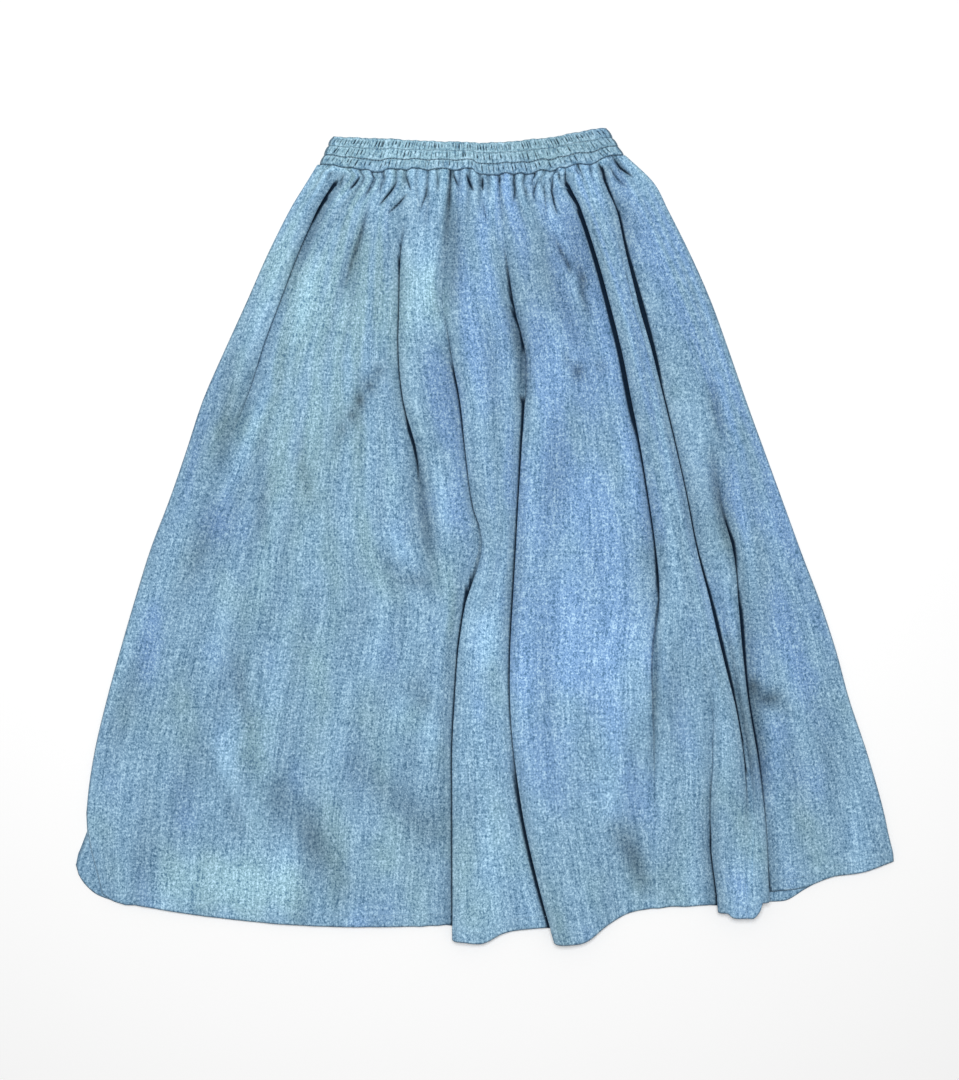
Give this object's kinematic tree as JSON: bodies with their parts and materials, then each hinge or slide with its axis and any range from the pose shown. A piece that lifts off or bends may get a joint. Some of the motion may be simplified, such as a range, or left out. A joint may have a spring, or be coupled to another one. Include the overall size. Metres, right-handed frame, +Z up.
{
  "type": "gathered denim maxi skirt laid flat",
  "caption": "Long flared skirt of light stonewashed denim, gathered into a shirred elastic waistband and laid flat with deep soft folds",
  "frame": {"origin": "bottom centre of the whole part's box, on the surface that the skirt lies on", "axes": "+X to the skirt's right edge as seen, +Y from the hem to the waistband, +Z up out of the surface"},
  "size_m": [0.9037, 0.8979, 0.0173],
  "materials": {
    "panel_denim": "light blue stonewashed denim, speckled, with vertical slubs and a soft nap",
    "band_denim": "the same denim, puckered over elastic, paler on its ridges",
    "seam_thread": "matt sewing thread in the colour of the cloth"
  },
  "bodies": {
    "root": {"skirt_front": "panel_denim", "skirt_back": "panel_denim", "waistband": "band_denim"}
  },
  "joints": []
}
